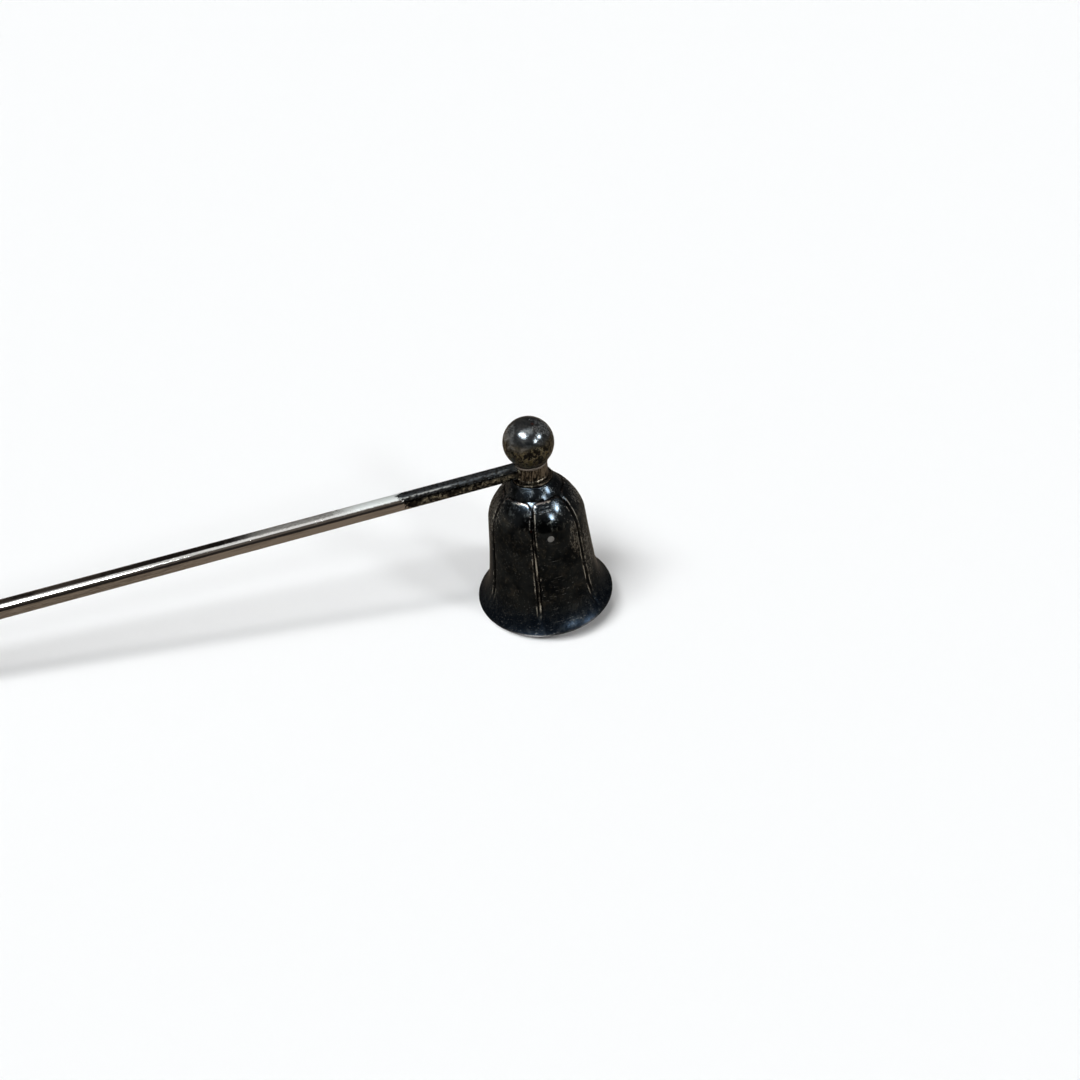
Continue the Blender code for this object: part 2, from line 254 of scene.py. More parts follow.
def bell_heights(top, rows):
    """Heights up the bell, closer together at the lip and over the shoulder."""
    heights = []
    for i in range(rows + 1):
        t = i / rows
        heights.append(top * (t - 0.11 * math.sin(2.0 * math.pi * t)))
    return heights


BELL_ANGLES = [2.0 * math.pi * i / BELL_COLUMNS for i in range(BELL_COLUMNS)]


def plain_ring(radius, z):
    return [Vector((radius * math.cos(a), radius * math.sin(a), z)) for a in BELL_ANGLES]


def make_bell(material, inside):
    """The bell as one closed surface: up the outside, through the hole and down the inside."""
    rings = [plain_ring(RIM_RADIUS - 0.85 * RIM_EDGE, 0.0)]
    rings.append(plain_ring(RIM_RADIUS - 0.2 * RIM_EDGE, 0.3 * RIM_EDGE))
    for z in bell_heights(PANEL_TOP_Z, BELL_ROWS):
        if z > 0.6 * RIM_EDGE:
            rings.append([bell_surface(a, z) for a in BELL_ANGLES])
    foot = bell_radius(PANEL_TOP_Z) - (1.0 - TOP_FADE) * (CHANNEL_DEPTH + PANEL_PILLOW)
    ceiling_z = CROWN_TOP_Z - 0.9 * MM
    crown = [(foot, PANEL_TOP_Z + 0.05 * MM), (foot - 0.35 * MM, PANEL_TOP_Z + 0.6 * MM)]
    crown += filleted([
        (foot - 0.9 * MM, PANEL_TOP_Z + 1.4 * MM),
        (5.75 * MM, CROWN_TOP_Z - 0.35 * MM),
        (5.6 * MM, CROWN_TOP_Z),
        (SWIVEL_HOLE, CROWN_TOP_Z),
        (SWIVEL_HOLE, ceiling_z),
        (5.0 * MM, ceiling_z),
        (bell_radius(INNER_SHOULDER_Z, BELL_THICKNESS), INNER_SHOULDER_Z),
    ], 0.25 * MM)
    rings += [plain_ring(radius, z) for radius, z in crown]
    inner = bell_heights(INNER_SHOULDER_Z, BELL_INNER_ROWS)
    rings += [plain_ring(bell_radius(z, BELL_THICKNESS), z) for z in reversed(inner[1:-1])]
    rings.append(plain_ring(RIM_RADIUS - BELL_THICKNESS + 0.12 * MM, 0.12 * MM))
    rings.append(plain_ring(RIM_RADIUS - BELL_THICKNESS + 0.3 * MM, 0.0))
    bell = piece("bell", rings_to_mesh(rings, closed=True), BELL, "bell", material,
                 "tarnished_bell", "bell_shell")
    bell.data.materials.append(inside)
    for face in bell.data.polygons:
        middle = face.center
        if 0.3 * MM < middle.z < ceiling_z:
            radius = math.hypot(middle.x, middle.y)
            if radius < bell_radius(middle.z) - 0.96 * MM:
                face.material_index = 1


# ---- Swivel, collar and ball ---------------------------------------------------------------------


def washer(name, node, body, material, slot, fillet):
    """A flat ring round the swivel, with rounded edges."""
    radius, low, high = extent(node, BELL)
    outline = [(SWIVEL_HOLE, low), (radius, low), (radius, high), (SWIVEL_HOLE, high)]
    shape = turned(filleted(outline, fillet, closed=True), closed=True)
    piece(name, shape, BELL, body, material, slot, node)


def make_swivel(brass, steel, tarnish):
    washer("seat_flange", "seat_washer", "handle", tarnish, "tarnished_silver", 0.12 * MM)
    washer("inner_brass_washer", "inner_washer", "bell", brass, "worn_brass", 0.1 * MM)
    radius, low, high = extent("spring_washer", BELL)
    thickness = 0.25 * MM
    cone = [(SWIVEL_HOLE, low), (radius, high - thickness)]
    cone += [(radius, high), (SWIVEL_HOLE, low + thickness)]
    shape = turned(filleted(cone, 0.06 * MM, closed=True), closed=True)
    piece("cone_spring", shape, BELL, "handle", steel, "plain_steel", "spring_washer")


def make_screw(material):
    """The slotted screw: its domed head is cut by a slot."""
    head_radius, low, high = extent("shoulder_screw", BELL)
    head_top = low + 1.9 * MM
    shank = 2.1 * MM
    thread = 1.6 * MM
    dome = [(0.0, low + 0.05 * MM), (1.4 * MM, low + 0.1 * MM), (2.5 * MM, low + 0.32 * MM),
            (3.2 * MM, low + 0.85 * MM), (head_radius, low + 1.45 * MM)]
    outline = dome + filleted([
        (head_radius, low + 1.5 * MM), (head_radius, head_top), (shank, head_top),
        (shank, SEAT_TOP_Z), (thread, SEAT_TOP_Z), (thread, high - 0.4 * MM),
        (thread - 0.4 * MM, high), (0.0, high),
    ], 0.1 * MM)
    head = piece("swivel_screw", turned(outline, 128), BELL, "handle", material, "worn_brass",
                 "shoulder_screw")
    slot = bmesh.new()
    bmesh.ops.create_cube(slot, size=1.0)
    bmesh.ops.scale(slot, vec=(3.0 * head_radius, 0.9 * MM, 1.8 * MM), verts=slot.verts)
    bmesh.ops.translate(slot, vec=(0.0, 0.0, low), verts=slot.verts)
    tool_mesh = bpy.data.meshes.new("slot_tool")
    slot.to_mesh(tool_mesh)
    slot.free()
    tool = bpy.data.objects.new("slot_tool", tool_mesh)
    bpy.context.scene.collection.objects.link(tool)
    tool.matrix_world = BELL
    cut = head.modifiers.new("slot", "BOOLEAN")
    cut.object = tool
    cut.operation = "DIFFERENCE"
    bake_modifiers(head)
    bpy.data.objects.remove(tool, do_unlink=True)


def bake_modifiers(target):
    """Keeps the modifiers' result as the mesh."""
    bpy.context.view_layer.update()
    result = target.evaluated_get(bpy.context.evaluated_depsgraph_get())
    mesh = bpy.data.meshes.new_from_object(result)
    target.modifiers.clear()
    target.data = mesh
    mesh.shade_smooth()
    mesh.set_sharp_from_angle(angle=math.radians(40.0))


def make_collar(material):
    """Turned collar with a bright rolled rim, a shallow waist and the ball's cup."""
    cup_radius = BALL_RADIUS + 0.1 * MM
    waist_radius = COLLAR_RADIUS - 0.14 * MM
    lip_angle = math.acos((BALL_Z - COLLAR_TOP_Z) / cup_radius)
    bore_angle = math.asin(FINIAL_BORE / cup_radius)
    low, high = COLLAR_BOTTOM_Z, COLLAR_TOP_Z
    side = filleted([
        (FINIAL_BORE, low),
        (COLLAR_RADIUS, low),
        (COLLAR_RADIUS, low + 0.45 * MM),
        (waist_radius, low + 0.62 * MM),
        (waist_radius, high - 0.75 * MM),
        (COLLAR_RADIUS, high - 0.58 * MM),
        (COLLAR_RADIUS, high),
        (cup_radius * math.sin(lip_angle) + 0.02 * MM, high),
    ], 0.13 * MM)
    cup = ball_points(BALL_Z, cup_radius, lip_angle, bore_angle, 12)
    shape = turned(side + cup, 128, closed=True, wobble=0.035 * MM, seed=4.0)
    piece("collar_ring", shape, BELL, "handle", material, "tarnished_silver", "collar")


def make_ball(material, brass):
    """The ball with its pocket, and the threaded bush in the pocket."""
    bush_radius, bush_low, bush_high = extent("finial_bush", BELL)
    pocket_radius, pocket_top = bush_radius + 0.2 * MM, bush_high + 0.2 * MM
    mouth = math.asin(pocket_radius / BALL_RADIUS)
    outline = [(0.0, pocket_top), (pocket_radius, pocket_top)]
    outline += ball_points(BALL_Z, BALL_RADIUS - 0.02 * MM, mouth, math.pi, 80)
    outline[-1] = (0.0, BALL_TOP_Z - 0.02 * MM)
    shape = turned(outline, 144, wobble=0.006 * MM, seed=9.0)
    piece("finial", shape, BELL, "finial", material, "tarnished_silver", "finial_ball")
    bore_top = bush_high - 0.6 * MM
    bush = [(0.0, bore_top), (FINIAL_BORE, bore_top), (FINIAL_BORE, bush_low),
            (bush_radius, bush_low), (bush_radius, bush_high), (0.0, bush_high)]
    shape = turned(filleted(bush, 0.12 * MM), 96)
    piece("threaded_bush", shape, BELL, "finial_thread", brass, "worn_brass", "finial_bush")


# ---- Handle --------------------------------------------------------------------------------------


def cope(y):
    """Distance from the bell's axis to the collar's side, at a sideways offset y."""
    seat = COLLAR_RADIUS - 0.1 * MM
    return math.sqrt(seat * seat - y * y)


def make_rod(material):
    """Drawn rod with a saddle-shaped end on the collar and a barely uneven surface."""
    steps = 96
    sections = 260
    start, end = COLLAR_RADIUS + 1.0 * MM, ROD_END - 0.5 * MM
    hole_end = ROD_END - 6.0 * MM

    def rim(radius, place):
        ring = []
        for i in range(steps):
            a = 2.0 * math.pi * i / steps
            x, y = radius * math.cos(a), radius * math.sin(a)
            ring.append(Vector((x, y, place(y))))
        return ring

    rings = [[Vector((0.0, 0.0, cope(0.0)))]]
    rings.append(rim(0.6 * ROD_RADIUS, cope))
    rings.append(rim(0.97 * ROD_RADIUS, cope))
    rings.append(rim(ROD_RADIUS, lambda y: cope(y) + 0.06 * MM))
    for i in range(sections + 1):
        length = start + (end - start) * i / sections
        ring = rim(ROD_RADIUS - 0.03 * MM, lambda y, at=length: at)
        for p in ring:
            at = Vector((p.x * 250.0, p.y * 250.0, p.z * 38.0))
            uneven = 0.022 * MM * noise.noise(at) + 0.006 * MM * noise.noise(at * 5.0)
            p.x += uneven * p.x / ROD_RADIUS
            p.y += uneven * p.y / ROD_RADIUS
        rings.append(ring)
    rings.append(rim(ROD_RADIUS - 0.06 * MM, lambda y: ROD_END - 0.2 * MM))
    rings.append(rim(ROD_RADIUS - 0.3 * MM, lambda y: ROD_END))
    rings.append(rim(STUD_HOLE, lambda y: ROD_END))
    rings.append(rim(STUD_HOLE, lambda y: hole_end))
    rings.append([Vector((0.0, 0.0, hole_end))])
    piece("rod", rings_to_mesh(rings), HANDLE, "handle", material, "bright_silver", "handle_rod")


def make_solder(material):
    """The uneven bead of solder round the saddle between rod and collar."""
    turns, round_steps = 96, 14
    radius = ROD_RADIUS + 0.02 * MM
    along = Vector((0.0, 0.0, 1.0))
    rings = []
    for i in range(turns):
        a = 2.0 * math.pi * i / turns
        x, y = radius * math.cos(a), radius * math.sin(a)
        centre = Vector((x, y, cope(y) + 0.05 * MM))
        outward = Vector((math.cos(a), math.sin(a), 0.0))
        size = (0.30 - 0.14 * abs(math.cos(a)) ** 4) * MM
        size *= 1.0 + 0.35 * noise.noise(Vector((3.0 * math.cos(a), 3.0 * math.sin(a), 1.7)))
        ring = []
        for k in range(round_steps):
            b = 2.0 * math.pi * k / round_steps
            out, up = 0.75 * size * math.cos(b), size * math.sin(b)
            ring.append(centre + outward * out + along * up)
        rings.append(ring)
    piece("solder_bead", rings_to_mesh(rings, closed=True), HANDLE, "handle", material,
          "tarnished_silver", smooth_angle=180.0)


def make_handle_end(silver, steel):
    """The ring, the ball knob and the stud that joins the knob to the rod."""
    ring_radius, ring_low, ring_high = extent("end_ring", HANDLE)
    middle = 0.5 * (ring_low + ring_high)
    half = 0.5 * (ring_high - ring_low)
    outline = [(STUD_HOLE, ring_low)]
    outline += [(ring_radius - 0.5 * half + 0.5 * half * math.cos(t), middle + half * math.sin(t))
                for t in [math.pi * (i / 12 - 0.5) for i in range(13)]]
    outline.append((STUD_HOLE, ring_high))
    shape = turned(outline, closed=True)
    piece("end_bead", shape, HANDLE, "handle", silver, "bright_silver", "end_ring")

    knob_radius, foot, knob_end = extent("end_knob", HANDLE)
    centre = knob_end - knob_radius
    foot_angle = math.acos((centre - foot) / knob_radius)
    outline = [(0.0, foot + 4.0 * MM), (STUD_HOLE, foot + 4.0 * MM), (STUD_HOLE, foot)]
    outline += ball_points(centre, knob_radius - 0.02 * MM, foot_angle, math.pi, 56)
    outline[-1] = (0.0, knob_end - 0.02 * MM)
    shape = turned(outline, 128, wobble=0.025 * MM, seed=21.0)
    piece("knob", shape, HANDLE, "handle", silver, "bright_silver", "end_knob")

    radius, low, high = extent("knob_stud", HANDLE)
    outline = filleted([(0.0, low), (radius, low), (radius, high), (0.0, high)], 0.3 * MM)
    piece("stud", turned(outline), HANDLE, "handle", steel, "plain_steel", "knob_stud")


# ---- Materials -----------------------------------------------------------------------------------


def tree_math(tree, operation, *values):
    """A Math node in a node tree. Values are numbers or sockets."""
    node = tree.nodes.new("ShaderNodeMath")
    node.operation = operation
    for socket, value in zip(node.inputs, values):
        if isinstance(value, bpy.types.NodeSocket):
            tree.links.new(value, socket)
        else:
            socket.default_value = value
    return node.outputs[0]


def tree_step(tree, value, low, high, out_low=0.0, out_high=1.0):
    """A smooth step of a socket's value from low to high."""
    node = tree.nodes.new("ShaderNodeMapRange")
    node.interpolation_type = "SMOOTHSTEP"
    tree.links.new(value, node.inputs["Value"])
    for socket, number in zip(node.inputs[1:5], (low, high, out_low, out_high)):
        socket.default_value = number
    return node.outputs[0]


class Graph:
    """Short calls for building a material from nodes. Coordinates are local, in millimetres."""

    def __init__(self, name):
        self.material = bpy.data.materials.new(name)
        self.material.use_nodes = True
        self.tree = self.material.node_tree
        self.nodes, self.links = self.tree.nodes, self.tree.links
        self.shader = self.nodes["Principled BSDF"]
        coordinates = self.nodes.new("ShaderNodeTexCoord")
        scale = self.nodes.new("ShaderNodeVectorMath")
        scale.operation = "SCALE"
        scale.inputs["Scale"].default_value = 1000.0
        self.links.new(coordinates.outputs["Object"], scale.inputs[0])
        self.mm = scale.outputs[0]
        split = self.nodes.new("ShaderNodeSeparateXYZ")
        self.links.new(self.mm, split.inputs[0])
        self.x, self.y, self.z = split.outputs

    def put(self, socket, value):
        if isinstance(value, bpy.types.NodeSocket):
            self.links.new(value, socket)
        else:
            socket.default_value = value

    def math(self, operation, *values):
        return tree_math(self.tree, operation, *values)

    def chain(self, operation, values):
        """One operation over two or more values, from left to right."""
        total = values[0]
        for value in values[1:]:
            total = self.math(operation, total, value)
        return total

    def add(self, *values):
        return self.chain("ADD", values)

    def times(self, *values):
        return self.chain("MULTIPLY", values)

    def largest(self, *values):
        return self.chain("MAXIMUM", values)

    def remap(self, value, low, high, out_low=0.0, out_high=1.0):
        return tree_step(self.tree, value, low, high, out_low, out_high)

    def stretch(self, factors, shift=(0.0, 0.0, 0.0), turn=(0.0, 0.0, 0.0)):
        node = self.nodes.new("ShaderNodeMapping")
        self.links.new(self.mm, node.inputs["Vector"])
        node.inputs["Location"].default_value = shift
        node.inputs["Rotation"].default_value = [math.radians(a) for a in turn]
        node.inputs["Scale"].default_value = factors
        return node.outputs[0]

    def noise(self, scale, detail=4.0, rough=0.55, distortion=0.0, vector=None):
        node = self.nodes.new("ShaderNodeTexNoise")
        self.put(node.inputs["Vector"], vector or self.mm)
        node.inputs["Scale"].default_value = scale
        node.inputs["Detail"].default_value = detail
        node.inputs["Roughness"].default_value = rough
        node.inputs["Distortion"].default_value = distortion
        return node.outputs["Fac"]

    def cells(self, scale, vector=None):
        node = self.nodes.new("ShaderNodeTexVoronoi")
        self.put(node.inputs["Vector"], vector or self.mm)
        node.inputs["Scale"].default_value = scale
        return node.outputs["Distance"]

    def mix(self, share, first, second):
        """Mixes two colours, given as colours or as sockets."""
        node = self.nodes.new("ShaderNodeMix")
        node.data_type = "RGBA"
        self.put(node.inputs["Factor"], share)
        for name, value in (("A", first), ("B", second)):
            socket = next(s for s in node.inputs if s.name == name and s.type == "RGBA")
            self.put(socket, value if isinstance(value, bpy.types.NodeSocket) else (*value, 1.0))
        return next(s for s in node.outputs if s.type == "RGBA")

    def spot(self, centre, radius, edge=0.15):
        """1 inside a ball at centre, 0 outside."""
        node = self.nodes.new("ShaderNodeVectorMath")
        node.operation = "DISTANCE"
        self.links.new(self.mm, node.inputs[0])
        node.inputs[1].default_value = centre
        return self.remap(node.outputs["Value"], radius + edge, radius - edge)

    def patch(self, centre, radii, ragged=0.5, scale=0.9):
        """1 inside an ellipsoid with a ragged edge, 0 outside."""
        node = self.nodes.new("ShaderNodeVectorMath")
        node.operation = "LENGTH"
        inverse = [1.0 / r for r in radii]
        shift = [-c * i for c, i in zip(centre, inverse)]
        self.links.new(self.stretch(inverse, shift), node.inputs[0])
        edge = self.noise(scale, 5.0, 0.7, 0.5)
        wander = self.times(self.math("SUBTRACT", edge, 0.5), ragged * 4.0)
        return self.remap(self.add(node.outputs["Value"], wander), 1.0, 0.72)

    def band(self, value, middle, half):
        """1 where value is near middle, falling to 0 at half away from it."""
        off = self.math("ABSOLUTE", self.math("SUBTRACT", value, middle))
        return self.remap(off, half, 0.0)

    def scratches(self, seed, turn, density=0.72):
        """Thin straight marks: noise stretched along one direction and cut off high."""
        vector = self.stretch((0.11, 3.4, 3.0), (seed, seed * 1.7, -seed), turn)
        lines = self.noise(1.0, 3.0, 0.6, 0.0, vector)
        gate = self.noise(0.35, 2.0, 0.5, 0.0, self.stretch((1.0, 1.0, 1.0), (seed, 0.0, seed)))
        return self.times(self.remap(lines, density, density + 0.05), self.remap(gate, 0.45, 0.6))

    def surface(self, colour, roughness, metallic, bump, bump_height):
        """Sets the shader's main inputs, with a bump whose height is in millimetres."""
        self.put(self.shader.inputs["Base Color"], colour)
        self.put(self.shader.inputs["Roughness"], roughness)
        self.put(self.shader.inputs["Metallic"], metallic)
        node = self.nodes.new("ShaderNodeBump")
        node.inputs["Strength"].default_value = 1.0
        node.inputs["Distance"].default_value = bump_height * MM
        self.links.new(bump, node.inputs["Height"])
        self.links.new(node.outputs[0], self.shader.inputs["Normal"])
        return self.material


def channel_distance(g):
    """Distance in millimetres round the bell to the middle of the nearest channel."""
    angle = g.math("ARCTAN2", g.y, g.x)
    turned_angle = g.math("SUBTRACT", angle, FIRST_CHANNEL)
    wrapped = g.math("PINGPONG", turned_angle, PANEL_STEP / 2.0)
    squares = g.add(g.times(g.x, g.x), g.times(g.y, g.y))
    return g.times(wrapped, g.math("SQRT", squares))


def panel_inside(g, distance):
    """Distance in millimetres from a panel's edge to the inside, up to the corner's radius."""
    low, high = (z / MM for z in CHANNEL_NARROWING)
    corner = PANEL_CORNER / MM
    half_width = g.remap(g.z, low, high, CHANNEL_HALF_WIDTH / MM, CHANNEL_TOP_HALF_WIDTH / MM)
    side = g.math("SUBTRACT", distance, half_width)
    top = g.times(g.math("SUBTRACT", PANEL_TOP_Z / MM, g.z), PANEL_TOP_SLOPE)
    side_short = g.math("MAXIMUM", g.math("SUBTRACT", corner, side), 0.0)
    top_short = g.math("MAXIMUM", g.math("SUBTRACT", corner, top), 0.0)
    squares = g.add(g.times(side_short, side_short), g.times(top_short, top_short))
    return g.math("SUBTRACT", corner, g.math("SQRT", squares))


WORN_PLACES = (
    # centre and half sizes in the bell frame (mm), raggedness
    ((6.6, -11.7, 26.0), (1.9, 1.9, 6.5), 0.55),
    ((11.0, -9.4, 18.0), (2.6, 2.6, 9.0), 0.6),
    ((9.5, -3.0, 34.0), (3.2, 4.0, 3.4), 0.6),
    ((-10.5, 0.5, 32.0), (3.4, 4.6, 7.0), 0.7),
    ((-8.0, 12.0, 16.0), (4.0, 4.0, 10.0), 0.7),
    ((-7.5, 1.5, 38.2), (3.0, 4.0, 2.6), 0.7),
)
# grey-beige patches on the side panels: partly wear, partly a painted grazing sheen
WEAR_AND_SHEEN_PLACES = (
    # the same, and the scale of the ragged edge
    ((12.0, -4.6, 22.0), (4.6, 6.0, 17.0), 0.35, 0.4),
    ((-11.5, 4.0, 27.0), (4.6, 6.0, 14.0), 0.35, 0.4),
)


def tarnished_bell():
    """Old silver plate gone blue-black, rubbed to brass and silver along the panels' edges, with
    painted shade in the channels' corners, a painted highlight along the panels' tops and a painted
    sheen on the side panels.
    """
    g = Graph("tarnished_bell")
    broad = g.noise(0.16, 5.0, 0.6, 0.4)
    mottle = g.noise(0.8, 6.0, 0.68, 0.5, g.stretch((1.0, 1.0, 0.7), (7.0, 3.0, 1.0)))
    speck = g.noise(2.3, 5.0, 0.7, 0.3, g.stretch((1.0, 1.0, 0.8), (1.0, 5.0, 9.0)))
    grain = g.noise(6.0, 4.0, 0.7)
    black = (0.022, 0.031, 0.042)
    slate = (0.092, 0.120, 0.145)
    olive = (0.170, 0.165, 0.120)
    navy = (0.008, 0.013, 0.021)
    beige = (0.46, 0.42, 0.34)
    colour = g.mix(g.remap(broad, 0.34, 0.66), black, slate)
    colour = g.mix(g.times(g.remap(mottle, 0.47, 0.70), 0.62), colour, olive)
    colour = g.mix(g.times(g.remap(speck, 0.52, 0.72), 0.45), colour, black)
    low = g.remap(g.add(g.z, g.times(broad, 12.0)), 15.0, 7.5)
    high = g.remap(g.add(g.z, g.times(mottle, 8.0)), 37.0, 42.0)
    colour = g.mix(g.times(high, 0.50), colour, (0.040, 0.054, 0.072))
    deep = g.remap(g.add(g.z, g.times(broad, 10.0)), 40.0, 32.0)
    colour = g.mix(g.times(deep, 0.58), colour, (0.006, 0.008, 0.010))
    # beige wear beside the right-hand channel, on the shoulder and behind
    worn = g.largest(*[g.patch(*place) for place in WORN_PLACES])
    streaky = g.noise(1.0, 5.0, 0.72, 0.5, g.stretch((1.5, 1.5, 0.45), (2.0, 6.0, 1.0)))
    worn = g.times(worn, g.remap(speck, 0.36, 0.62), g.remap(streaky, 0.38, 0.60))
    colour = g.mix(g.times(worn, 0.85), colour, (0.29, 0.265, 0.215))
    # a thin grey film on the panels at either side, partly wear and partly a painted grazing sheen
    # towards their silhouettes
    wear_and_sheen = g.largest(*[g.patch(*place) for place in WEAR_AND_SHEEN_PLACES])
    wear_and_sheen = g.times(wear_and_sheen, g.remap(streaky, 0.30, 0.60, 0.35, 1.0))
    colour = g.mix(g.times(wear_and_sheen, 0.50), colour, (0.22, 0.21, 0.185))
    rubbed = g.times(g.remap(g.noise(0.33, 6.0, 0.68, 0.8), 0.53, 0.68), 0.32)
    colour = g.mix(rubbed, colour, (0.17, 0.165, 0.145))
    colour = g.mix(g.times(low, g.remap(mottle, 0.72, 0.42, 0.55, 0.95)), colour, navy)
    # the channels: painted shade in the corners, beige along the middle, worn crests
    distance = channel_distance(g)
    inside = panel_inside(g, distance)
    shown = g.remap(g.z, 3.0, 7.0)
    under_top = g.remap(g.z, 38.6, 38.2)
    # near-black painted shade along the panels' edges, in the channels' corners
    corner = g.times(g.band(inside, 0.0, 0.42), g.times(shown, under_top))
    colour = g.mix(g.times(corner, 0.92), colour, (0.008, 0.009, 0.011))
    patchy = g.noise(0.55, 5.0, 0.7, 0.5, g.stretch((1.0, 1.0, 0.30), (2.0, 9.0, 4.0)))
    patchy = g.remap(patchy, 0.44, 0.56)
    middle = g.times(g.remap(distance, 0.30, 0.12), g.times(shown, g.remap(g.z, 30.0, 26.0)))
    middle = g.times(middle, g.times(patchy, under_top))
    colour = g.mix(g.times(middle, 0.95), colour, beige)
    crest_place = g.noise(0.40, 5.0, 0.7, 0.6, g.stretch((1.0, 1.0, 0.5), (8.0, 2.0, 7.0)))
    crest_place = g.remap(crest_place, 0.50, 0.60)
    crest = g.times(g.band(inside, 0.50, 0.28), g.times(crest_place, g.times(shown, under_top)))
    colour = g.mix(g.times(crest, 0.75), colour, beige)
    # pale line along the panels' arched tops: partly wear, partly a painted highlight on the
    # upward-facing step
    arch_wear_and_highlight = g.times(g.band(inside, 0.30, 0.26), g.times(g.remap(g.z, 34.0, 36.0), under_top))
    arch_wear_and_highlight = g.times(arch_wear_and_highlight, g.remap(g.noise(0.8, 4.0, 0.65), 0.46, 0.58))
    colour = g.mix(g.times(arch_wear_and_highlight, 0.7), colour, (0.42, 0.35, 0.31))
    marks = g.add(
        g.scratches(3.0, (0.0, 0.0, 20.0), 0.63),
        g.scratches(11.0, (35.0, 60.0, 0.0), 0.63),
        g.scratches(19.0, (80.0, 15.0, 30.0), 0.63),
    )
    colour = g.mix(g.times(g.math("MINIMUM", marks, 1.0), 0.42), colour, (0.34, 0.34, 0.32))
    edge = g.remap(g.z, 0.40, 0.10)
    colour = g.mix(g.times(edge, 0.7), colour, (0.06, 0.055, 0.05))
    spot = g.spot((-0.36, -13.4, 29.35), 0.92, 0.12)
    colour = g.mix(g.times(spot, 0.85), colour, (0.30, 0.295, 0.28))
    copper = g.spot((-4.8, -11.5, 32.0), 0.45, 0.25)
    colour = g.mix(g.times(copper, 0.8), colour, (0.22, 0.06, 0.03))
    roughness = g.add(
        0.085,
        g.times(g.remap(mottle, 0.50, 0.68), 0.20),
        g.times(grain, 0.06),
        g.times(g.largest(crest, middle), 0.25),
        g.times(worn, 0.30),
        g.times(g.remap(g.z, 10.0, 5.0), 0.16),
        g.times(high, 0.06),
        g.times(spot, 0.32),
    )
    height = g.add(
        g.times(mottle, 0.30),
        g.times(grain, 0.08),
        g.times(marks, -0.25),
        g.times(worn, 0.2),
    )
    film = g.add(
        g.times(worn, 0.26),
        g.times(wear_and_sheen, 0.12),
        g.times(g.remap(mottle, 0.52, 0.68), 0.05),
        g.times(marks, 0.15),
        g.times(g.largest(crest, middle), 0.35),
        g.times(spot, 0.28),
        g.times(low, 0.12),
    )
    metallic = g.math("MAXIMUM", g.math("SUBTRACT", 1.0, film), 0.0)
    g.shader.inputs["Specular IOR Level"].default_value = 0.2
    g.shader.inputs["Specular Tint"].default_value = (0.62, 0.65, 0.68, 1.0)
    return g.surface(colour, roughness, metallic, height, 0.022)


def tarnished_ball():
    """Mottled silver above, olive-brown and blotched with black below; the olive-brown below is
    partly a painted reflection of the table under it.
    """
    g = Graph("tarnished_ball")
    broad = g.noise(0.26, 6.0, 0.68, 0.9)
    mottle = g.noise(0.75, 6.0, 0.70, 1.4, g.stretch((1.0, 1.0, 0.8), (5.0, 8.0, 2.0)))
    speck = g.noise(2.6, 5.0, 0.7, 0.5)
    grain = g.noise(6.0, 4.0, 0.7)
    steel = (0.150, 0.172, 0.186)
    pale = (0.46, 0.48, 0.475)
    olive = (0.26, 0.225, 0.115)
    black = (0.014, 0.014, 0.014)
    copper = (0.28, 0.075, 0.035)
    colour = g.mix(g.remap(broad, 0.50, 0.62), steel, pale)
    clean = g.patch((4.2, -2.2, 56.8), (3.6, 3.6, 2.4), 0.9, 0.6)
    clean = g.math("MAXIMUM", clean, g.patch((-4.9, -1.0, 55.6), (2.6, 2.6, 2.4), 0.9, 0.6))
    clean = g.times(clean, g.remap(speck, 0.38, 0.60))
    colour = g.mix(g.times(clean, 0.80), colour, pale)
    colour = g.mix(g.times(g.remap(speck, 0.47, 0.58), 0.55), colour, (0.040, 0.044, 0.047))
    # the lower half turns olive-brown: partly tarnish, partly a painted reflection of the brown table
    # below
    lower = g.remap(g.add(g.z, g.times(broad, 7.0)), 58.6, 55.8)
    colour = g.mix(lower, colour, g.mix(g.remap(speck, 0.42, 0.58), olive, (0.060, 0.050, 0.032)))
    blotch = g.times(g.remap(mottle, 0.470, 0.500), g.add(0.12, g.times(lower, 0.84)))
    outline = g.times(g.band(mottle, 0.462, 0.014), lower)
    colour = g.mix(blotch, colour, black)
    colour = g.mix(g.times(outline, 0.7), colour, (0.66, 0.60, 0.44))
    colour = g.mix(g.times(g.spot((1.1, -2.0, 58.1), 0.32, 0.3), 0.8), colour, copper)
    colour = g.mix(g.times(g.remap(g.noise(1.9, 2.0), 0.70, 0.75), 0.6), colour, copper)
    marks = g.scratches(5.0, (0.0, 30.0, 40.0), 0.68)
    marks = g.add(marks, g.scratches(17.0, (60.0, 10.0, 0.0), 0.69))
    colour = g.mix(g.times(marks, 0.5), colour, (0.5, 0.5, 0.48))
    roughness = g.add(
        0.085,
        g.times(mottle, 0.10),
        g.times(clean, 0.12),
        g.times(lower, 0.12),
        g.times(grain, 0.08),
    )
    height = g.add(
        g.times(blotch, 0.5),
        g.times(grain, 0.10),
        g.times(marks, -0.2),
        g.times(speck, 0.15),
    )
    dull = g.add(0.05, g.times(clean, 0.18), g.times(outline, 0.20))
    return g.surface(colour, roughness, g.math("SUBTRACT", 1.0, dull), height, 0.03)


